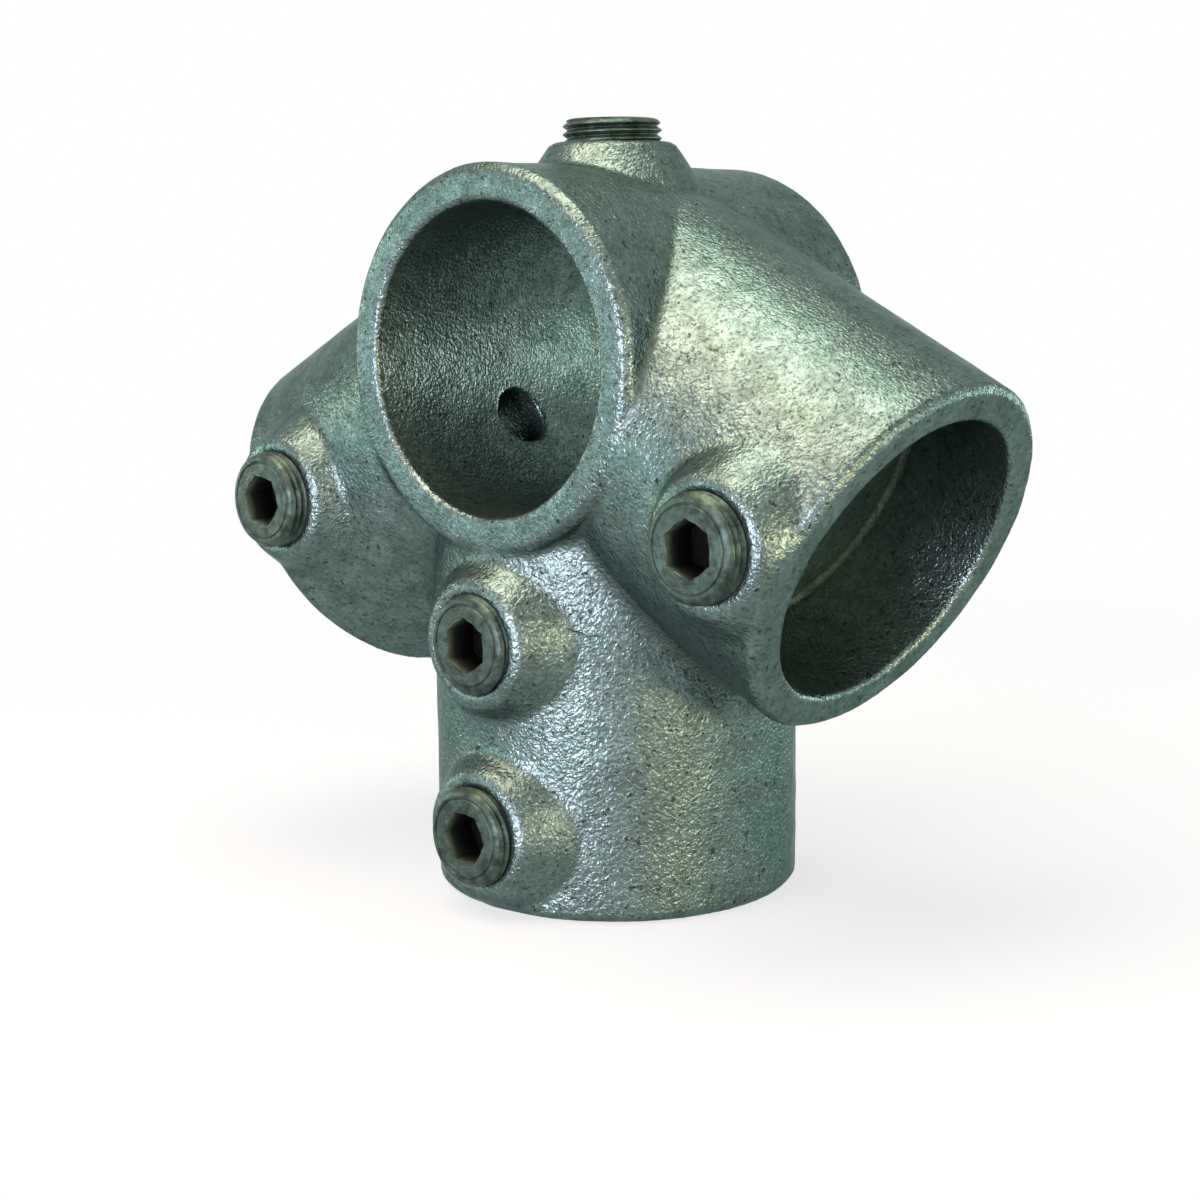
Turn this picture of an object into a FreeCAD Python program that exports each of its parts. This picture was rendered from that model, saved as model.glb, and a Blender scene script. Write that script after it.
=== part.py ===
import FreeCAD, Part
import math
import os
from FreeCAD import Placement, Rotation, Vector

# Ridge fitting for round structural tube, in millimetres, +Z up.
# A cast body joins a level ridge tube, an upright post and two rafters. All four
# axes meet at the origin: the ridge bore runs along Y, the upright socket points
# down -Z, and the rafter sockets slope down to +X and -X in the XZ plane.

# Tubes and sockets
tube_diameter = 48.3
bore_clearance = 0.65
wall_thickness = 6.2
roof_pitch = 27.5
ridge_face_step = 0.3
upright_reach = 90.0
rafter_reach = 66.0
rim_chamfer = 1.2
mouth_chamfer = 0.7
valley_chamfer = 3.0

# Stops that the upright and the rafters come up against, and the cored ways through them
upright_stop = 36.0
rafter_stop = 45.0
core_way_radius = 5.0

# Screw bosses
boss_face_height = 3.8
boss_face_radius = 10.3
boss_flank_angle = 34.0
boss_edge_chamfer = 0.8
rafter_foot_overrun = 0.9
upright_foot_margin = 0.7
upright_boss_spacing = 31.5

# Set screws, 3/8 inch pipe thread with an 8 mm hexagon socket
thread_diameter = 16.66
thread_clearance = 0.05
thread_mouth_chamfer = 0.6
screw_length = 11.0
screw_face_chamfer = 0.9
hex_across_flats = 8.0
hex_depth = 6.0
cup_radius = 4.5
cup_depth = 1.3

# How far each screw's face stands out from its boss, and how far its hexagon is turned
screw_settings = {
    "ridge_set_screw": (3.7, 12.0),
    "upright_set_screw_upper": (1.2, 2.0),
    "upright_set_screw_lower": (2.2, 27.0),
    "rafter_set_screw_right": (3.1, 5.0),
    "rafter_set_screw_left": (3.1, 20.0),
}

ORIGIN = Vector(0, 0, 0)
UP = Vector(0, 0, 1)
DOWN = Vector(0, 0, -1)
FRONT = Vector(0, -1, 0)
BACK = Vector(0, 1, 0)
SMALL = 1e-6

pitch = math.radians(roof_pitch)
RIGHT_RAFTER = Vector(math.cos(pitch), 0, -math.sin(pitch))
LEFT_RAFTER = Vector(-math.cos(pitch), 0, -math.sin(pitch))

# The blind sockets: axis, distance from the origin to the mouth, and to the tube's stop
blind_sockets = [
    (DOWN, upright_reach, upright_stop),
    (RIGHT_RAFTER, rafter_reach, rafter_stop),
    (LEFT_RAFTER, rafter_reach, rafter_stop),
]

bore_radius = tube_diameter / 2 + bore_clearance
socket_radius = bore_radius + wall_thickness
ridge_half_length = socket_radius + ridge_face_step
boss_top = socket_radius + boss_face_height
boss_root = bore_radius - boss_face_height
boss_foot_radius = boss_face_radius + boss_face_height * math.tan(math.radians(boss_flank_angle))
tapped_radius = thread_diameter / 2 + thread_clearance

# Places of the bosses along their sockets: a rafter boss's foot runs over the mouth,
# and the foot of the upright's lower boss stops just short of it
rafter_boss_place = rafter_reach - boss_foot_radius + rafter_foot_overrun
lower_boss_place = upright_reach - boss_foot_radius - upright_foot_margin
upper_boss_place = lower_boss_place - upright_boss_spacing

# Each boss: the screw in it, the point on the socket's axis below it, and its direction
bosses = {
    "ridge_set_screw": (ORIGIN, UP),
    "upright_set_screw_upper": (DOWN * upper_boss_place, FRONT),
    "upright_set_screw_lower": (DOWN * lower_boss_place, FRONT),
    "rafter_set_screw_right": (RIGHT_RAFTER * rafter_boss_place, FRONT),
    "rafter_set_screw_left": (LEFT_RAFTER * rafter_boss_place, FRONT),
}


def circle_edges(shape, centre, radius):
    """The circular edges of a shape about a point, at a radius."""
    found = []
    for edge in shape.Edges:
        curve = edge.Curve
        if curve.TypeId != "Part::GeomCircle":
            continue
        if (curve.Center - centre).Length < SMALL and abs(curve.Radius - radius) < SMALL:
            found.append(edge)
    return found


def edge_middle(edge):
    return edge.valueAt((edge.FirstParameter + edge.LastParameter) / 2)


def deep_valleys(shape):
    """The seams between the upright and the rafter sockets: arcs of ellipses below the ridge socket."""
    seams = [edge for edge in shape.Edges if edge.Curve.TypeId == "Part::GeomEllipse"]
    return [edge for edge in seams if edge_middle(edge).z < -socket_radius]


def boss_cone(name):
    """A screw boss as a plain cone from inside the wall up to its flat face."""
    centre, way = bosses[name]
    height = boss_top - boss_root
    root_radius = boss_face_radius + height * math.tan(math.radians(boss_flank_angle))
    return Part.makeCone(root_radius, boss_face_radius, height, centre + way * boss_root, way)


def socket(axis, reach):
    """A blind socket's outside, from the origin to its mouth, with its rim chamfered."""
    body = Part.makeCylinder(socket_radius, reach, ORIGIN, axis)
    return body.makeChamfer(rim_chamfer, circle_edges(body, axis * reach, socket_radius))


def past_mouth(axis, reach):
    """The space in front of a socket's mouth, which its bosses are cut flat against."""
    return Part.makeCylinder(boss_top, socket_radius, axis * reach, axis)


def ridge_ring():
    """The ridge socket's outside: a short ring with both rims chamfered."""
    front_face = FRONT * ridge_half_length
    ring = Part.makeCylinder(socket_radius, 2 * ridge_half_length, front_face, BACK)
    rims = circle_edges(ring, front_face, socket_radius) + circle_edges(ring, -front_face, socket_radius)
    return ring.makeChamfer(rim_chamfer, rims)


def blind_bore(axis, reach, stop):
    """A socket's bore up to its stop, the chamfer at its mouth and the way on into the ridge bore."""
    bore = Part.makeCylinder(bore_radius, reach - stop, axis * stop, axis)
    lead_in = Part.makeCone(bore_radius, bore_radius + mouth_chamfer, mouth_chamfer,
                            axis * (reach - mouth_chamfer), axis)
    way = Part.makeCylinder(core_way_radius, stop, ORIGIN, axis)
    return [bore, lead_in, way]


def ridge_bore():
    """The through bore for the ridge tube, with a chamfer at both mouths."""
    start = FRONT * ridge_half_length
    cuts = [Part.makeCylinder(bore_radius, 2 * ridge_half_length, start, BACK)]
    for way in (FRONT, BACK):
        cuts.append(Part.makeCone(bore_radius, bore_radius + mouth_chamfer, mouth_chamfer,
                                  way * (ridge_half_length - mouth_chamfer), way))
    return cuts


def tapped_hole(name):
    """The threaded hole through a boss into the bore, with a chamfer at its mouth."""
    centre, way = bosses[name]
    hole = Part.makeCylinder(tapped_radius, boss_top, centre, way)
    lead_in = Part.makeCone(tapped_radius, tapped_radius + thread_mouth_chamfer, thread_mouth_chamfer,
                            centre + way * (boss_top - thread_mouth_chamfer), way)
    return [hole, lead_in]


def outside():
    """The casting's outer skin: the sockets, with the deep valleys between them eased, and the bosses."""
    sockets = [socket(axis, reach) for axis, reach, stop in blind_sockets]
    body = ridge_ring().fuse(sockets).removeSplitter()
    body = body.makeChamfer(valley_chamfer, deep_valleys(body))
    body = body.fuse([boss_cone(name) for name in bosses])
    body = body.cut([past_mouth(axis, reach) for axis, reach, stop in blind_sockets]).removeSplitter()
    for centre, way in bosses.values():
        face_edge = circle_edges(body, centre + way * boss_top, boss_face_radius)
        body = body.makeChamfer(boss_edge_chamfer, face_edge)
    return body


def casting():
    """The cast body, bored for the tubes and tapped for the screws."""
    cuts = ridge_bore()
    for axis, reach, stop in blind_sockets:
        cuts += blind_bore(axis, reach, stop)
    for name in bosses:
        cuts += tapped_hole(name)
    return outside().cut(cuts).Solids[0]


def set_screw():
    """A set screw along Z with its socket face at the origin, pointing down, hollow at its point."""
    radius = thread_diameter / 2
    section = Part.makePolygon([
        Vector(0, 0, 0),
        Vector(radius - screw_face_chamfer, 0, 0),
        Vector(radius, 0, -screw_face_chamfer),
        Vector(radius, 0, -screw_length),
        Vector(cup_radius, 0, -screw_length),
        Vector(cup_radius, 0, cup_depth - screw_length),
        Vector(0, 0, cup_depth - screw_length),
        Vector(0, 0, 0),
    ])
    body = Part.Face(section).revolve(ORIGIN, UP, 360)
    corner_radius = hex_across_flats / math.sqrt(3)
    corners = [Vector(corner_radius * math.cos(math.radians(60 * k)),
                      corner_radius * math.sin(math.radians(60 * k)), 0) for k in range(7)]
    return body.cut(Part.Face(Part.makePolygon(corners)).extrude(DOWN * hex_depth))


def placed_screw(name):
    """A set screw driven into its boss."""
    centre, way = bosses[name]
    stand_out, turn = screw_settings[name]
    screw = set_screw()
    screw.rotate(ORIGIN, UP, turn)
    screw.Placement = Placement(centre + way * (boss_top + stand_out), Rotation(UP, way)) * screw.Placement
    return screw


os.makedirs("parts", exist_ok=True)
casting().exportStep("parts/casting.step")
for screw_name in bosses:
    placed_screw(screw_name).exportStep("parts/" + screw_name + ".step")
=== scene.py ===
import math

import bpy
import numpy as np
from mathutils import Matrix, Vector


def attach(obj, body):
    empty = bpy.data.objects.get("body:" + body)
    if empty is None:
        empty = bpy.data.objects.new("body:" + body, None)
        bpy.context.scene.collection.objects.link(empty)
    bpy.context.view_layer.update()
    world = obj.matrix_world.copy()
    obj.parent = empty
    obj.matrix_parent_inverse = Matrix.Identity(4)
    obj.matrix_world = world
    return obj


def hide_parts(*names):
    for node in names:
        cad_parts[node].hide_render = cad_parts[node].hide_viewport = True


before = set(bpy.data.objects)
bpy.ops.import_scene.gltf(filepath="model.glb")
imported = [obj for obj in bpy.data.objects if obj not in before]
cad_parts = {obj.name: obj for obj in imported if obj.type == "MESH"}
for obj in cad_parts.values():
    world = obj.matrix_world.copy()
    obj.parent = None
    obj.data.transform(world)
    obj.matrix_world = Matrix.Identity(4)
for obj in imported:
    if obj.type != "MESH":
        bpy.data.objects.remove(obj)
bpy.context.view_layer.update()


# The cast body: one sand casting in malleable iron, with the ridge socket, the upright
# socket, two rafter sockets and five screw bosses poured in one piece. It is dipped in
# molten zinc, which rounds its rims and fills its inner corners, and then tapped.
mm = 0.001
socket_radius = 31.0
upright_reach = 90.0
rafter_reach = 66.0
pitch = math.radians(27.5)
boss_face_radius = 10.3
boss_face_height = 3.8
boss_flank_angle = math.radians(34)
boss_foot_radius = boss_face_radius + boss_face_height * math.tan(boss_flank_angle)
upright_foot_margin = 0.7
upright_boss_spacing = 31.5
rafter_foot_overrun = 0.9
lower_boss_place = upright_reach - boss_foot_radius - upright_foot_margin
upper_boss_place = lower_boss_place - upright_boss_spacing
rafter_boss_place = rafter_reach - boss_foot_radius + rafter_foot_overrun
front = Vector((0, -1, 0))
socket_ways = {
    "upright": Vector((0, 0, -1)),
    "right_rafter": Vector((math.cos(pitch), 0, -math.sin(pitch))),
    "left_rafter": Vector((-math.cos(pitch), 0, -math.sin(pitch))),
}
# Each boss: the point on its socket's axis below it, and its way out
bosses = {
    "ridge": (Vector((0, 0, 0)), Vector((0, 0, 1))),
    "upright_upper": (socket_ways["upright"] * upper_boss_place, front),
    "upright_lower": (socket_ways["upright"] * lower_boss_place, front),
    "right_rafter": (socket_ways["right_rafter"] * rafter_boss_place, front),
    "left_rafter": (socket_ways["left_rafter"] * rafter_boss_place, front),
}


def alone(piece):
    """Makes a piece the only selected object, and the active one."""
    bpy.ops.object.select_all(action="DESELECT")
    piece.select_set(True)
    bpy.context.view_layer.objects.active = piece


def apply(piece, kind, **settings):
    """Adds a modifier with its settings and applies it."""
    alone(piece)
    modifier = piece.modifiers.new(kind.lower(), kind)
    for name, value in settings.items():
        setattr(modifier, name, value)
    bpy.ops.object.modifier_apply(modifier=modifier.name)


def points_mm(piece):
    """The places of a piece's vertices, in millimetres."""
    places = np.empty(len(piece.data.vertices) * 3)
    piece.data.vertices.foreach_get("co", places)
    return places.reshape(-1, 3) / mm


def from_axis(places, way, centre=(0, 0, 0)):
    """How far points lie along an axis from its centre, and their steps out from the axis."""
    from_centre = places - np.array(centre)
    along = from_centre @ np.array(way)
    return along, from_centre - along[:, None] * np.array(way)


def weigh(piece, name, weights):
    """Gives a piece a vertex group with its weights, from 0 to 1 in steps of a twentieth."""
    group = piece.vertex_groups.new(name=name)
    finest = 20
    steps = np.round(np.clip(weights, 0, 1) * finest).astype(int)
    for step in range(1, finest + 1):
        chosen = np.flatnonzero(steps == step)
        if len(chosen):
            group.add(chosen.tolist(), step / finest, "REPLACE")


cast_body = bpy.data.objects.new("cast_body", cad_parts["casting"].data.copy())
bpy.context.scene.collection.objects.link(cast_body)
cast_body.data.materials.clear()
alone(cast_body)
bpy.ops.object.mode_set(mode="EDIT")
bpy.ops.mesh.select_all(action="SELECT")
bpy.ops.mesh.remove_doubles(threshold=0.002 * mm)
bpy.ops.mesh.normals_make_consistent(inside=False)
bpy.ops.object.mode_set(mode="OBJECT")

# A hole's own thread reaches in to the root of its screw's thread, so the solid's plain
# tapped holes are drawn in nearly to there, and the edges of their mouths a little. Only
# points well over to the boss's side of its socket's axis can belong to them.
tapped_radius = 8.38
drawn_in_radius = 7.6
tapped_mouth_radius = 8.98
drawn_in_mouth_radius = 8.62
drawn_in = ((tapped_radius, drawn_in_radius), (tapped_mouth_radius, drawn_in_mouth_radius))
same_radius = 0.02
boss_side = 15
for vertex in cast_body.data.vertices:
    for centre, way in bosses.values():
        from_centre = vertex.co / mm - centre
        along = from_centre.dot(way)
        across = from_centre - way * along
        for cad_radius, radius in drawn_in:
            if along > boss_side and abs(across.length - cad_radius) < same_radius:
                vertex.co = (centre + way * along + across * (radius / cad_radius)) * mm
apply(cast_body, "REMESH", mode="VOXEL", voxel_size=0.45 * mm)

# How near each vertex is to a seam between two sockets, by how far it lies from the skin of
# the second nearest socket
seam_width = 3.0
far_off = 99.0
places = points_mm(cast_body)
off_socket = [np.abs(np.hypot(places[:, 0], places[:, 2]) - socket_radius)]
for way in socket_ways.values():
    along, out = from_axis(places, way)
    off_socket.append(np.where(along > 0, np.abs(np.linalg.norm(out, axis=1) - socket_radius), far_off))
nearness = np.sort(np.array(off_socket), axis=0)[1]
weigh(cast_body, "seams", 1 - nearness / seam_width)

# Between the upright and each rafter the pattern has a tight round fillet. The vertices there
# are stepped onto it, and those beside it back onto the nearer socket. The ring is left as it is.
fillet = 1.1
fillet_side = 5.0
fillet_steps = 6
under_skin = 0.5
on_skin = 0.02
off_ring = 1.0
tiny = 0.001
for name in ("right_rafter", "left_rafter"):
    for step in range(fillet_steps):
        off, out = [], []
        for way in (socket_ways["upright"], socket_ways[name]):
            along, across = from_axis(places, way)
            across_length = np.linalg.norm(across, axis=1)
            off.append(np.where(along > 0, across_length - socket_radius, far_off))
            out.append(across / np.maximum(across_length, tiny)[:, None])
        nearer, further = np.minimum(*off), np.maximum(*off)
        below_ring = np.hypot(places[:, 0], places[:, 2]) - socket_radius > off_ring
        inside = (further < fillet) & (nearer > -under_skin) & below_ring
        gap = [fillet - off[0][inside], fillet - off[1][inside]]
        reach = np.maximum(np.hypot(*gap), tiny)
        inward = (gap[0][:, None] * out[0][inside] + gap[1][:, None] * out[1][inside]) / reach[:, None]
        places[inside] -= (fillet - reach)[:, None] * inward / np.sum(inward * inward, axis=1)[:, None]
        beside = (further < fillet_side) & (nearer > on_skin) & ~inside & below_ring
        nearer_out = np.where((off[0] < off[1])[:, None], out[0], out[1])
        places[beside] -= nearer[beside][:, None] * nearer_out[beside]
cast_body.data.vertices.foreach_set("co", (places * mm).ravel())
cast_body.data.update()

# How near each vertex is to a boss's foot, outside the boss's own face
foot_width = 3.2
face_edge = 0.5
boss_from = 20
feet = np.zeros(len(places))
for centre, way in bosses.values():
    along, across = from_axis(places, way, centre)
    off_axis = np.linalg.norm(across, axis=1)
    near_foot = 1 - np.abs(off_axis - boss_foot_radius) / foot_width
    on_foot = (along > boss_from) & (off_axis > boss_face_radius + face_edge)
    feet = np.maximum(feet, np.where(on_foot, near_foot, 0))
weigh(cast_body, "boss_feet", feet)

# The zinc fills the seams and the feet of the bosses most, and rounds every edge a little
apply(cast_body, "SMOOTH", factor=0.5, iterations=8, vertex_group="seams")
apply(cast_body, "SMOOTH", factor=0.5, iterations=30, vertex_group="boss_feet")
apply(cast_body, "SMOOTH", factor=0.5, iterations=4)

# The sand mould leaves the skin slightly uneven, which is drawn almost all inwards, so that
# the fitting stays within its sizes. The ratio keeps it under 200,000 triangles. The ratio
# thins the mesh to 22% of its triangles.
unevenness = bpy.data.textures.new("sand_mould", "CLOUDS")
unevenness.noise_scale = 7 * mm
apply(cast_body, "DISPLACE", texture=unevenness, strength=0.25 * mm, mid_level=0.95)
apply(cast_body, "DECIMATE", ratio=0.22)
bpy.ops.object.shade_smooth()

# How sharply the skin bends at each vertex, in radians per millimetre and outwards positive:
# it places a painted highlight on the rims, and painted shade with grime in the hollows
places = points_mm(cast_body)
ends = np.empty(len(cast_body.data.edges) * 2, dtype=int)
cast_body.data.edges.foreach_get("vertices", ends)
one_way = ends.reshape(-1, 2)
ends = np.vstack([one_way, one_way[:, ::-1]])
outward = np.empty(len(places) * 3)
cast_body.data.vertex_normals.foreach_get("vector", outward)
outward = outward.reshape(-1, 3)
steps = places[ends[:, 1]] - places[ends[:, 0]]
bends = -2 * np.sum(steps * outward[ends[:, 0]], axis=1) / np.sum(steps * steps, axis=1)
neighbours = np.maximum(np.bincount(ends[:, 0], minlength=len(places)), 1)
bend = np.bincount(ends[:, 0], bends, len(places)) / neighbours
evening_rounds = 2
for evening in range(evening_rounds):
    bend = (bend + np.bincount(ends[:, 0], bend[ends[:, 1]], len(places)) / neighbours) / 2
bend_layer = cast_body.data.attributes.new("bend", "FLOAT", "POINT")
bend_layer.data.foreach_set("value", bend.astype(np.float32))


def linear(code):
    """An sRGB hex colour as linear red, green, blue and alpha."""
    parts = [int(code[k:k + 2], 16) / 255 for k in (1, 3, 5)]
    return [c / 12.92 if c <= 0.04045 else ((c + 0.055) / 1.055) ** 2.4 for c in parts] + [1.0]


def add(material, kind, settings=None, links=None):
    """Adds a node with its settings, socket values and incoming links.

    A socket is called by its name, its identifier or, for an input, its number."""
    node = material.node_tree.nodes.new(kind)
    for key, value in (settings or {}).items():
        if hasattr(node, key):
            setattr(node, key, value)
    sockets = {}
    for socket in reversed(list(node.inputs)):
        sockets[socket.identifier] = sockets[socket.name] = socket
    for number, socket in enumerate(node.inputs):
        sockets[str(number)] = socket
    for key, value in (settings or {}).items():
        if not hasattr(node, key):
            sockets[key].default_value = value
    for key, (source, output) in (links or {}).items():
        outputs = {}
        for socket in reversed(list(source.outputs)):
            outputs[socket.name] = socket
        outputs.update({socket.identifier: socket for socket in source.outputs})
        material.node_tree.links.new(outputs[output], sockets[key])
    return node


def set_ramp(node, steps):
    """Gives a colour ramp its steps, each a place and an sRGB colour."""
    elements = node.color_ramp.elements
    for place, code in steps[1:-1]:
        elements.new(place)
    for element, (place, code) in zip(elements, steps):
        element.position = place
        element.color = linear(code)


def new_material(name):
    """A new material without nodes."""
    material = bpy.data.materials.new(name)
    material.use_nodes = True
    material.node_tree.nodes.clear()
    return material


# Hot-dip galvanised iron: the zinc skin is a bright metal with a pebbly orange-peel
# surface, duller and darker where it has weathered, and speckled with small pits.
# Scales are per millimetre: patches of 4.5 mm, grains of 0.8 mm and pits 1.1 mm apart.
zinc = new_material("hot_dip_galvanised_iron")
where = add(zinc, "ShaderNodeTexCoord")
in_mm = add(zinc, "ShaderNodeMapping", {"Scale": (1000, 1000, 1000)}, {"Vector": (where, "Object")})
mottle = add(zinc, "ShaderNodeTexNoise", {"Scale": 0.22, "Detail": 6, "Roughness": 0.68},
             {"Vector": (in_mm, "Vector")})
tone = add(zinc, "ShaderNodeValToRGB", {}, {"Fac": (mottle, "Fac")})
set_ramp(tone, [(0.36, "#465852"), (0.64, "#5B706A")])
grains = add(zinc, "ShaderNodeTexNoise", {"Scale": 1.3, "Detail": 3, "Roughness": 0.6},
             {"Vector": (in_mm, "Vector")})
grain_shade = add(zinc, "ShaderNodeMapRange",
                  {"From Min": 0.3, "From Max": 0.7, "To Min": 0.72, "To Max": 1.28},
                  {"Value": (grains, "Fac")})
grained = add(zinc, "ShaderNodeVectorMath", {"operation": "MULTIPLY"},
              {"0": (tone, "Color"), "1": (grain_shade, "Result")})
pits = add(zinc, "ShaderNodeTexNoise", {"Scale": 0.9, "Detail": 3, "Roughness": 0.75},
           {"Vector": (in_mm, "Vector")})
pit_mask = add(zinc, "ShaderNodeMapRange", {"From Min": 0.59, "From Max": 0.66}, {"Value": (pits, "Fac")})
pitted = add(zinc, "ShaderNodeMix", {"data_type": "RGBA", "B_Color": linear("#26302A")},
             {"Factor_Float": (pit_mask, "Result"), "A_Color": (grained, "Vector")})

# A hair crack 7 mm long in the upright's skin, to the right of its upper boss: a swaying line,
# only on the outside. Its frame's columns are the ways along it, across it and out of the skin.
crack_middle = (16.85, -25.82, -42.49)
crack_frame = Matrix(((0.813, 0.202, 0.547), (0.530, 0.132, -0.837), (-0.241, 0.971, 0.0)))
crack_sway = 2.4
crack_reach_in = 5.0
crack_place = add(zinc, "ShaderNodeMapping",
                  {"vector_type": "TEXTURE", "Location": crack_middle,
                   "Rotation": crack_frame.to_euler()},
                  {"Vector": (in_mm, "Vector")})
crack_parts = add(zinc, "ShaderNodeSeparateXYZ", {}, {"Vector": (crack_place, "Vector")})
crack_wander = add(zinc, "ShaderNodeTexNoise", {"Scale": 0.4, "Detail": 3, "Roughness": 0.6},
                   {"Vector": (in_mm, "Vector")})
crack_line = add(zinc, "ShaderNodeMath", {"operation": "MULTIPLY_ADD", "1": crack_sway},
                 {"0": (crack_wander, "Fac"), "2": (crack_parts, "Y")})
crack_across = add(zinc, "ShaderNodeMath", {"operation": "SUBTRACT", "1": crack_sway / 2},
                   {"0": (crack_line, "Value")})
crack_off = add(zinc, "ShaderNodeMath", {"operation": "ABSOLUTE"}, {"0": (crack_across, "Value")})
crack_width = add(zinc, "ShaderNodeMapRange",
                  {"From Min": 0.05, "From Max": 0.18, "To Min": 0.8, "To Max": 0.0},
                  {"Value": (crack_off, "Value")})
crack_from_middle = add(zinc, "ShaderNodeMath", {"operation": "ABSOLUTE"}, {"0": (crack_parts, "X")})
crack_length = add(zinc, "ShaderNodeMapRange",
                   {"From Min": 1.6, "From Max": 3.6, "To Min": 1.0, "To Max": 0.0},
                   {"Value": (crack_from_middle, "Value")})
crack_depth = add(zinc, "ShaderNodeMath", {"operation": "GREATER_THAN", "1": -crack_reach_in},
                  {"0": (crack_parts, "Z")})
crack_there = add(zinc, "ShaderNodeMath", {"operation": "MULTIPLY"},
                  {"0": (crack_width, "Result"), "1": (crack_length, "Result")})
crack = add(zinc, "ShaderNodeMath", {"operation": "MULTIPLY"},
            {"0": (crack_there, "Value"), "1": (crack_depth, "Value")})
cracked = add(zinc, "ShaderNodeMix", {"data_type": "RGBA", "B_Color": linear("#161D1A")},
              {"Factor_Float": (crack, "Value"), "A_Color": (pitted, "Result_Color")})

# Painted shade, with grime, darkens the hollows, and the rims get a painted highlight, a paler grey
bent = add(zinc, "ShaderNodeAttribute", {"attribute_name": "bend"})
hollow_shade = add(zinc, "ShaderNodeMapRange",
             {"From Min": -0.02, "From Max": -0.22, "To Min": 0.0, "To Max": 0.5},
             {"Value": (bent, "Fac")})
grime_and_hollow_shade = add(zinc, "ShaderNodeMix", {"data_type": "RGBA", "B_Color": linear("#2C382F")},
            {"Factor_Float": (hollow_shade, "Result"), "A_Color": (cracked, "Result_Color")})
# Painted highlight: the rims are mixed towards a paler grey
rim_highlight = add(zinc, "ShaderNodeMapRange",
          {"From Min": 0.28, "From Max": 0.6, "To Min": 0.0, "To Max": 0.25},
          {"Value": (bent, "Fac")})
bright = add(zinc, "ShaderNodeMix", {"data_type": "RGBA", "B_Color": linear("#8F9F97")},
             {"Factor_Float": (rim_highlight, "Result"), "A_Color": (grime_and_hollow_shade, "Result_Color")})

# Dull in deep hollows, and glossy elsewhere, so that the pebbles sparkle
rough = add(zinc, "ShaderNodeMapRange",
            {"From Min": 0.35, "From Max": 0.65, "To Min": 0.38, "To Max": 0.31},
            {"Value": (mottle, "Fac")})
dull = add(zinc, "ShaderNodeMapRange",
           {"From Min": -0.12, "From Max": -0.4, "To Min": 0.0, "To Max": 0.4},
           {"Value": (bent, "Fac")})
rough_all = add(zinc, "ShaderNodeMath", {"operation": "ADD"},
                {"0": (rough, "Result"), "1": (dull, "Result")})

# The orange peel: pebbles 0.65 mm wide, each strayed a little from its place, on a skin that
# is gently uneven every 2 mm, with a sandy grain of 0.3 mm over them
pebble_stray = (1.4, 1.4, 1.4)
wander = add(zinc, "ShaderNodeTexNoise", {"Scale": 0.9, "Detail": 1, "Roughness": 0.5},
             {"Vector": (in_mm, "Vector")})
wandered = add(zinc, "ShaderNodeVectorMath", {"operation": "MULTIPLY_ADD", "1": pebble_stray},
               {"0": (wander, "Color"), "2": (in_mm, "Vector")})
peel = add(zinc, "ShaderNodeTexVoronoi", {"feature": "SMOOTH_F1", "Scale": 1.55, "Smoothness": 0.6},
           {"Vector": (wandered, "Vector")})
sand = add(zinc, "ShaderNodeTexNoise", {"Scale": 3.0, "Detail": 2.0, "Roughness": 0.5},
           {"Vector": (in_mm, "Vector")})
coarse = add(zinc, "ShaderNodeTexNoise", {"Scale": 0.45, "Detail": 2, "Roughness": 0.5},
             {"Vector": (in_mm, "Vector")})
coarse_bump = add(zinc, "ShaderNodeBump", {"Strength": 1.0, "Distance": 0.10 * mm},
                  {"Height": (coarse, "Fac")})
peel_bump = add(zinc, "ShaderNodeBump", {"Strength": 1.0, "Distance": 0.125 * mm, "invert": True},
                {"Height": (peel, "Distance"), "Normal": (coarse_bump, "Normal")})
sand_bump = add(zinc, "ShaderNodeBump", {"Strength": 1.0, "Distance": 0.06 * mm},
                {"Height": (sand, "Fac"), "Normal": (peel_bump, "Normal")})
crack_bump = add(zinc, "ShaderNodeBump", {"Strength": 1.0, "Distance": 0.08 * mm, "invert": True},
                 {"Height": (crack, "Value"), "Normal": (sand_bump, "Normal")})

# The greyish tint keeps the skin from turning white where it is seen edge-on
shader = add(zinc, "ShaderNodeBsdfPrincipled", {"Metallic": 0.9, "Specular Tint": linear("#B8C8C8")},
             {"Base Color": (bright, "Result_Color"), "Roughness": (rough_all, "Value"),
              "Normal": (crack_bump, "Normal")})
add(zinc, "ShaderNodeOutputMaterial", {}, {"Surface": (shader, "BSDF")})
cast_body.data.materials.append(zinc)
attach(cast_body, "root")
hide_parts("casting")


# The set screws: turned steel with a 3/8 inch parallel thread, chamfered at the face, with
# an 8 mm hexagon socket broached into a drilled hole. Each is screwed in until it grips,
# so each stands out from its boss by its own amount and is turned by its own angle.
thread_radius = 8.22
thread_pitch = 1.337
thread_depth = 0.75
screw_length = 11.0
hexagon_width = 8.0
hexagon_depth = 6.0
boss_top = socket_radius + boss_face_height
# Each screw: its boss, how far its face stands out from it, and its turn in degrees
screws = {
    "ridge_set_screw": ("ridge", 3.7, 12.0),
    "upright_set_screw_upper": ("upright_upper", 1.2, 2.0),
    "upright_set_screw_lower": ("upright_lower", 2.2, 27.0),
    "rafter_set_screw_right": ("right_rafter", 3.1, 5.0),
    "rafter_set_screw_left": ("left_rafter", 3.1, 20.0),
}


def merge(piece):
    """Merges a piece's doubles and turns its faces outwards."""
    alone(piece)
    bpy.ops.object.mode_set(mode="EDIT")
    bpy.ops.mesh.select_all(action="SELECT")
    bpy.ops.mesh.remove_doubles(threshold=0.003 * mm)
    bpy.ops.mesh.normals_make_consistent(inside=False)
    bpy.ops.object.mode_set(mode="OBJECT")


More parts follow.
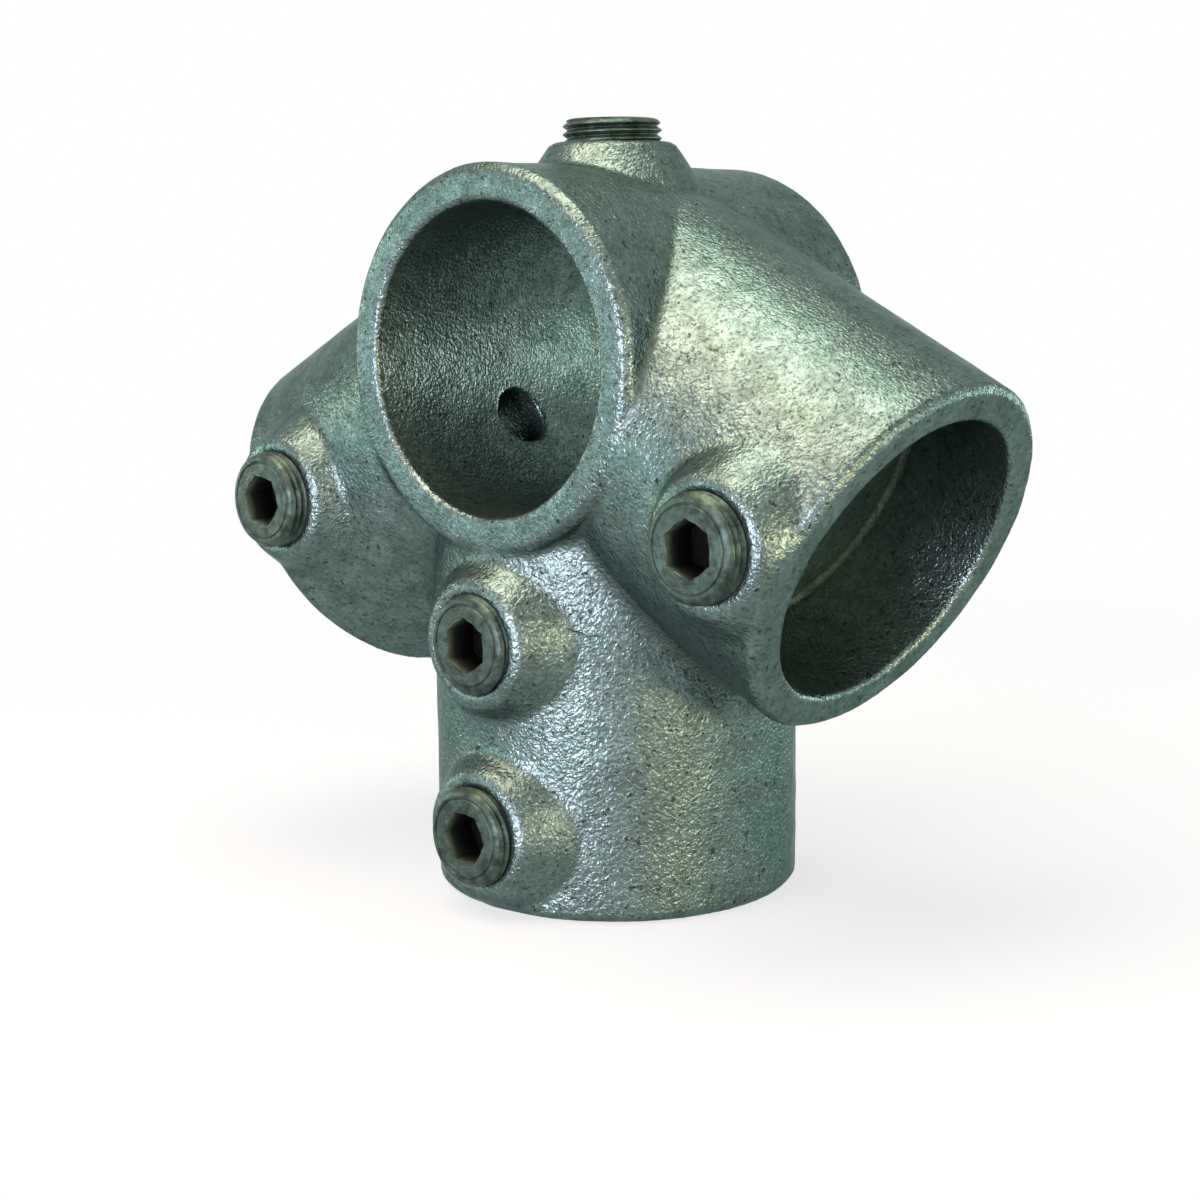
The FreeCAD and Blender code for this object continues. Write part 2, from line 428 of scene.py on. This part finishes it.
def cut(piece, tool, way):
    """Cuts a piece by a tool with an exact boolean, and throws the tool away."""
    apply(piece, "BOOLEAN", operation=way, solver="EXACT", object=tool)
    bpy.data.objects.remove(tool)
    merge(piece)


def lathe(name, section, rise=0.0):
    """A section in the XZ plane turned once about Z while it rises, all in millimetres."""
    sides = 96
    mesh = bpy.data.meshes.new(name)
    lines = [(k, k + 1) for k in range(len(section) - 1)]
    mesh.from_pydata([(x * mm, 0, z * mm) for x, z in section], lines, [])
    piece = bpy.data.objects.new(name, mesh)
    bpy.context.scene.collection.objects.link(piece)
    apply(piece, "SCREW", axis="Z", angle=math.tau, steps=sides, render_steps=sides,
          screw_offset=rise * mm, use_merge_vertices=False, use_smooth_shade=False)
    merge(piece)
    return piece


# The thread: one tooth's height and its depth below the crest, repeated from below the point
# to above the face, and cut off flat a little past both ends
tooth = [(0.0, thread_depth), (0.09, thread_depth - 0.03), (0.54, 0.06), (0.62, 0.0), (0.72, 0.0),
         (0.80, 0.06), (1.25, thread_depth - 0.03)]
turns_above = 2
spare_turns = 4
past_end = 0.4
thread = []
turns = int(screw_length / thread_pitch) + spare_turns
for turn in range(turns):
    for height, depth in tooth:
        thread.append((thread_radius - depth, (turn - turns + turns_above) * thread_pitch + height))
thread.append((thread_radius - thread_depth, turns_above * thread_pitch))
screw_blank = lathe("set_screw", thread, rise=thread_pitch)
alone(screw_blank)
bpy.ops.object.mode_set(mode="EDIT")
for end, way in ((past_end, 1), (-screw_length - past_end, -1)):
    bpy.ops.mesh.select_all(action="SELECT")
    bpy.ops.mesh.bisect(plane_co=(0, 0, end * mm), plane_no=(0, 0, way), use_fill=True,
                        clear_outer=True, threshold=1e-7)
bpy.ops.mesh.select_all(action="SELECT")
bpy.ops.mesh.normals_make_consistent(inside=False)
bpy.ops.object.mode_set(mode="OBJECT")

# The turned outline: a face with a shallow groove, a rounded chamfer, a bevelled point and its
# cup. The socket is drilled and broached in it, and the thread is kept only within it.
outline = lathe("screw_outline", [
    (0, 0), (6.35, 0), (6.45, -0.08), (6.55, -0.22), (6.7, -0.22), (6.8, -0.06), (7.0, -0.03),
    (7.35, -0.12), (7.7, -0.34), (8.0, -0.7), (8.6, -1.5), (8.6, -10.4), (7.6, -11), (4.5, -11),
    (4.5, -9.7), (0, -9.7)])
drilled_hole = lathe("drilled_hole", [(0, 1), (4.9, 1), (3.9, -0.35), (3.9, -6.2), (0, -8.5)])
cut(outline, drilled_hole, "DIFFERENCE")
bpy.ops.mesh.primitive_cylinder_add(vertices=6, radius=hexagon_width / math.sqrt(3) * mm,
                                    depth=2 * hexagon_depth * mm, location=(0, 0, 0))
hexagon = bpy.context.object
cut(outline, hexagon, "DIFFERENCE")
cut(screw_blank, outline, "INTERSECT")

# Turned steel, dulled by zinc and weather: fine turning rings about the axis catch the light,
# and stains and small dents break them up. The rings follow the face's own UV map, and are
# 0.3 mm apart, the stains 1.8 mm and the dents 0.6 mm.
face_uv_width = 20.0
steel = new_material("turned_steel")
face_place = add(steel, "ShaderNodeUVMap", {"uv_map": "face"})
centred = add(steel, "ShaderNodeMapping",
              {"Location": (-face_uv_width / 2, -face_uv_width / 2, 0),
               "Scale": (face_uv_width, face_uv_width, 1)},
              {"Vector": (face_place, "UV")})
off_screw_axis = add(steel, "ShaderNodeVectorMath", {"operation": "LENGTH"},
                     {"Vector": (centred, "Vector")})
ridges = add(steel, "ShaderNodeTexNoise",
             {"noise_dimensions": "1D", "Scale": 3.2, "Detail": 4, "Roughness": 0.7},
             {"W": (off_screw_axis, "Value")})
steel_where = add(steel, "ShaderNodeTexCoord")
steel_mm = add(steel, "ShaderNodeMapping", {"Scale": (1000, 1000, 1000)},
               {"Vector": (steel_where, "Object")})
stain = add(steel, "ShaderNodeTexNoise", {"Scale": 0.55, "Detail": 5, "Roughness": 0.65},
            {"Vector": (steel_mm, "Vector")})
steel_tone = add(steel, "ShaderNodeValToRGB", {}, {"Fac": (stain, "Fac")})
set_ramp(steel_tone, [(0.38, "#222F29"), (0.62, "#3C5046")])
nicks = add(steel, "ShaderNodeTexNoise", {"Scale": 1.6, "Detail": 3, "Roughness": 0.6},
            {"Vector": (steel_mm, "Vector")})
turning = add(steel, "ShaderNodeBump", {"Strength": 1.0, "Distance": 0.05 * mm},
              {"Height": (ridges, "Fac")})
dents = add(steel, "ShaderNodeBump", {"Strength": 1.0, "Distance": 0.08 * mm},
            {"Height": (nicks, "Fac"), "Normal": (turning, "Normal")})
steel_shader = add(steel, "ShaderNodeBsdfPrincipled", {"Metallic": 0.85, "Roughness": 0.42},
                   {"Base Color": (steel_tone, "Color"), "Normal": (dents, "Normal")})
add(steel, "ShaderNodeOutputMaterial", {}, {"Surface": (steel_shader, "BSDF")})

depth_layer = screw_blank.data.attributes.new("depth", "FLOAT", "POINT")
depth_layer.data.foreach_set("value", -points_mm(screw_blank)[:, 2])
face_uv = screw_blank.data.uv_layers.new(name="face")
for loop in screw_blank.data.loops:
    place = screw_blank.data.vertices[loop.vertex_index].co / mm
    face_uv.data[loop.index].uv = (place.x / face_uv_width + 0.5, place.y / face_uv_width + 0.5)
screw_blank.data.materials.clear()
screw_blank.data.materials.append(steel)

# Inside the hexagon the steel is painted paler at the mouth as a highlight, and painted shade
# and greasy smears darken it with depth; the smears are some 2 mm wide and reach up to 2.4 mm
# higher in some places than in others
smear_height = 2.4
shaded_socket_steel = new_material("broached_steel_painted_shade")
socket_where = add(shaded_socket_steel, "ShaderNodeTexCoord")
socket_mm = add(shaded_socket_steel, "ShaderNodeMapping", {"Scale": (1000, 1000, 1000)},
                {"Vector": (socket_where, "Object")})
depth = add(shaded_socket_steel, "ShaderNodeAttribute", {"attribute_name": "depth"})
smears = add(shaded_socket_steel, "ShaderNodeTexNoise", {"Scale": 0.5, "Detail": 4, "Roughness": 0.6},
             {"Vector": (socket_mm, "Vector")})
smeared_depth = add(shaded_socket_steel, "ShaderNodeMath", {"operation": "MULTIPLY_ADD", "1": smear_height},
                    {"0": (smears, "Fac"), "2": (depth, "Fac")})
shade_depth_share = add(shaded_socket_steel, "ShaderNodeMapRange", {"From Min": 1.2, "From Max": 7.2},
                  {"Value": (smeared_depth, "Value")})
# The pale top step is a painted highlight at the mouth, and the dark steps below are painted shade
socket_shade_tone = add(shaded_socket_steel, "ShaderNodeValToRGB", {}, {"Fac": (shade_depth_share, "Result")})
set_ramp(socket_shade_tone, [(0.0, "#566B58"), (0.25, "#2F3A30"), (0.5, "#191E18"), (0.75, "#080807")])
socket_shade_shader = add(shaded_socket_steel, "ShaderNodeBsdfPrincipled", {"Metallic": 0.6, "Roughness": 0.5},
                    {"Base Color": (socket_shade_tone, "Color")})
add(shaded_socket_steel, "ShaderNodeOutputMaterial", {}, {"Surface": (socket_shade_shader, "BSDF")})
screw_blank.data.materials.append(shaded_socket_steel)

# The bottom of the drilled hole is painted black and matt as shade, with lumps of
# 0.8 mm
dark_hole_bottom = new_material("hole_bottom_painted_shade")
dark_bottom_where = add(dark_hole_bottom, "ShaderNodeTexCoord")
dark_bottom_mm = add(dark_hole_bottom, "ShaderNodeMapping", {"Scale": (1000, 1000, 1000)},
               {"Vector": (dark_bottom_where, "Object")})
lumps = add(dark_hole_bottom, "ShaderNodeTexNoise", {"Scale": 1.2, "Detail": 3, "Roughness": 0.6},
            {"Vector": (dark_bottom_mm, "Vector")})
dark_bottom_tone = add(dark_hole_bottom, "ShaderNodeValToRGB", {}, {"Fac": (lumps, "Fac")})
set_ramp(dark_bottom_tone, [(0.0, "#050605"), (1.0, "#10110D")])
dark_bottom_bump = add(dark_hole_bottom, "ShaderNodeBump", {"Strength": 1.0, "Distance": 0.15 * mm},
                 {"Height": (lumps, "Fac")})
dark_bottom_shader = add(dark_hole_bottom, "ShaderNodeBsdfPrincipled", {"Roughness": 1.0, "Specular IOR Level": 0.05},
                   {"Base Color": (dark_bottom_tone, "Color"), "Normal": (dark_bottom_bump, "Normal")})
add(dark_hole_bottom, "ShaderNodeOutputMaterial", {}, {"Surface": (dark_bottom_shader, "BSDF")})
screw_blank.data.materials.append(dark_hole_bottom)

# The faces inside the socket, from just below its mouth to above the cup, get the greasy steel
# with its painted highlight and shade, and those under the hexagon's foot the painted black shade
socket_reach = 4.7
mouth_edge = 0.2
dark_bottom_depth = 5.9
above_cup = 9
for side in screw_blank.data.polygons:
    middle = side.center / mm
    if middle.xy.length < socket_reach and -above_cup < middle.z < -mouth_edge:
        side.material_index = 2 if middle.z < -dark_bottom_depth else 1
alone(screw_blank)
bpy.ops.object.shade_smooth_by_angle(angle=math.radians(30))

for name, (boss, stand_out, turn) in screws.items():
    centre, way = bosses[boss]
    screw = bpy.data.objects.new("threaded_" + name, screw_blank.data.copy())
    bpy.context.scene.collection.objects.link(screw)
    face_centre = (centre + way * (boss_top + stand_out)) * mm
    pointed = Vector((0, 0, 1)).rotation_difference(way).to_matrix().to_4x4()
    turned = Matrix.Rotation(math.radians(turn), 4, "Z")
    screw.matrix_world = Matrix.Translation(face_centre) @ pointed @ turned
    alone(screw)
    bpy.ops.object.transform_apply(location=True, rotation=True, scale=True)
    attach(screw, "root")
    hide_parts(name)
bpy.data.objects.remove(screw_blank)


# The stage: a plain white floor under the upright's mouth. Near the fitting it shows a little
# over a quarter of its own shading, with the soft shadow in it, and further out plain white.
bpy.ops.mesh.primitive_plane_add(size=8, location=(0, 0, -upright_reach * mm))
floor = bpy.context.object
floor.name = "floor"
paper = new_material("white_paper")
ray = add(paper, "ShaderNodeLightPath")
seen = add(paper, "ShaderNodeMath", {"operation": "MAXIMUM"},
           {"0": (ray, "Is Camera Ray"), "1": (ray, "Is Glossy Ray")})
seen_all = add(paper, "ShaderNodeMath", {"operation": "MAXIMUM"},
               {"0": (seen, "Value"), "1": (ray, "Is Transmission Ray")})
floor_where = add(paper, "ShaderNodeTexCoord")
far = add(paper, "ShaderNodeVectorMath", {"operation": "LENGTH"}, {"Vector": (floor_where, "Object")})
whiter = add(paper, "ShaderNodeMapRange",
             {"From Min": 0.10, "From Max": 0.42, "To Min": 0.72, "To Max": 1.0},
             {"Value": (far, "Value")})
part_seen = add(paper, "ShaderNodeMath", {"operation": "MULTIPLY"},
                {"0": (seen_all, "Value"), "1": (whiter, "Result")})
matt = add(paper, "ShaderNodeBsdfDiffuse", {"Color": linear("#B9C7CC")})
white = add(paper, "ShaderNodeEmission", {"Color": linear("#FFFFFF"), "Strength": 1.0})
both = add(paper, "ShaderNodeMixShader", {},
           {"0": (part_seen, "Value"), "1": (matt, "BSDF"), "2": (white, "Emission")})
add(paper, "ShaderNodeOutputMaterial", {}, {"Surface": (both, "Shader")})
floor.data.materials.append(paper)

# The world: a weak grey light from all round, with a white backdrop for the camera and for
# what metal mirrors, a little darker overhead
world = bpy.data.worlds.new("studio")
bpy.context.scene.world = world
world.use_nodes = True
world.node_tree.nodes.clear()
sky_ray = add(world, "ShaderNodeLightPath")
sky_seen = add(world, "ShaderNodeMath", {"operation": "MAXIMUM"},
               {"0": (sky_ray, "Is Camera Ray"), "1": (sky_ray, "Is Glossy Ray")})
sky_seen_all = add(world, "ShaderNodeMath", {"operation": "MAXIMUM"},
                   {"0": (sky_seen, "Value"), "1": (sky_ray, "Is Transmission Ray")})
sky_where = add(world, "ShaderNodeTexCoord")
sky_parts = add(world, "ShaderNodeSeparateXYZ", {}, {"Vector": (sky_where, "Generated")})
high_up = add(world, "ShaderNodeMapRange",
              {"From Min": 0.28, "From Max": 0.62, "To Min": 1.0, "To Max": 0.92},
              {"Value": (sky_parts, "Z")})
fill_light = add(world, "ShaderNodeBackground", {"Color": linear("#E6EAE8"), "Strength": 0.4})
backdrop = add(world, "ShaderNodeBackground", {"Color": linear("#FFFFFF")},
               {"Strength": (high_up, "Result")})
sky = add(world, "ShaderNodeMixShader", {},
          {"0": (sky_seen_all, "Value"), "1": (fill_light, "Background"), "2": (backdrop, "Background")})
add(world, "ShaderNodeOutputWorld", {}, {"Surface": (sky, "Shader")})

lamps_aim = Vector((0, 0, -20 * mm))


def softbox(name, azimuth, elevation, distance, size, power, tint):
    """A flat soft lamp that faces the fitting.

    Its azimuth runs from the front towards +X, in degrees. Its distance and size are in metres."""
    lamp = bpy.data.lights.new(name, "AREA")
    lamp.shape = "RECTANGLE"
    lamp.size, lamp.size_y = size
    lamp.energy = power
    lamp.color = linear(tint)[:3]
    holder = bpy.data.objects.new(name, lamp)
    bpy.context.scene.collection.objects.link(holder)
    round_z = math.radians(azimuth)
    upward = math.radians(elevation)
    way = Vector((math.sin(round_z) * math.cos(upward), -math.cos(round_z) * math.cos(upward),
                  math.sin(upward)))
    holder.location = lamps_aim + way * distance
    holder.visible_camera = False
    holder.rotation_euler = way.to_track_quat("Z", "Y").to_euler()


# The upright's skin mirrors what lies low round the stage, so most of the lamps stand low
softbox("overhead_key", -18, 60, 0.7, (0.40, 0.50), 7.5, "#FFD8C4")
softbox("overhead_back", -40, 92, 0.75, (0.4, 0.4), 5.0, "#FFEEDC")
softbox("front_left", 7, 1, 0.8, (0.42, 0.14), 10.5, "#F0DAF6")
softbox("front_right", 46, 1, 0.9, (0.16, 0.13), 0.8, "#EAD2FF")
softbox("warm_glint", 79, 4, 0.8, (0.12, 0.12), 4.2, "#FFD8A8")
softbox("left_fill", -48, 2, 0.8, (0.4, 0.14), 1.0, "#C0E8F2")
softbox("right_fill", 112, 3, 0.8, (0.34, 0.14), 1.2, "#D6ECF2")
softbox("back_fill", 158, 3, 0.8, (0.4, 0.14), 2.4, "#FFF6EE")
softbox("back_glint", 285, 3, 0.8, (0.14, 0.14), 1.2, "#FFEACC")


# The camera stands to the right of the fitting and a little above it, and looks slightly
# down on it. Its place is in metres, and its angles in degrees.
camera_place = (0.2401105, -0.2655217, 0.0175785)
camera_heading = 42.5576
camera_looks_down = 9.4614
camera_roll = -0.5079
camera = bpy.data.cameras.new("camera")
camera.sensor_width = 36.0
camera.lens = 63.487
camera.clip_start = 0.01
viewer = bpy.data.objects.new("camera", camera)
bpy.context.scene.collection.objects.link(viewer)
viewer.matrix_world = (Matrix.Translation(camera_place)
                       @ Matrix.Rotation(math.radians(camera_heading), 4, "Z")
                       @ Matrix.Rotation(math.radians(90 - camera_looks_down), 4, "X")
                       @ Matrix.Rotation(math.radians(camera_roll), 4, "Z"))
bpy.context.scene.camera = viewer
bpy.context.scene.view_settings.view_transform = "Standard"
